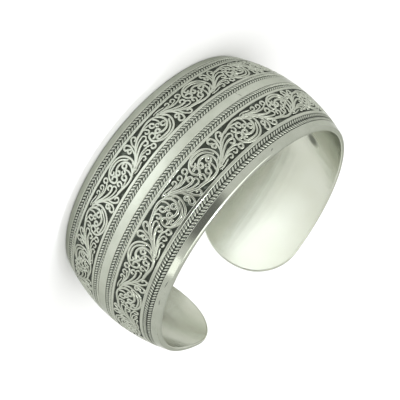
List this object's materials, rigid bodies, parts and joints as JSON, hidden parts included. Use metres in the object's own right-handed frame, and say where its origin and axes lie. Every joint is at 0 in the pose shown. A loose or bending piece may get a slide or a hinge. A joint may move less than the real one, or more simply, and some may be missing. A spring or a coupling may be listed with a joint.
{
  "type": "cuff bangle",
  "caption": "Wide open cuff bangle of silver-coloured metal, crowned across, with two scrollwork bands between rope borders and plain rounded ends.",
  "frame": {"origin": "middle of the cuff's footprint, on the surface that it lies on", "axes": "+Z along the wrist axis, up as the cuff lies on its side; +Y to the back of the cuff; the gap between the ends faces -Y"},
  "size_m": [0.0654, 0.0646, 0.028],
  "materials": {
    "antiqued_silver": "polished silver plate, worn on the raised ornament",
    "blackened_silver": "matt black oxide left in the sunk ground"
  },
  "bodies": {
    "root": {"cuff": "antiqued_silver"}
  },
  "joints": []
}
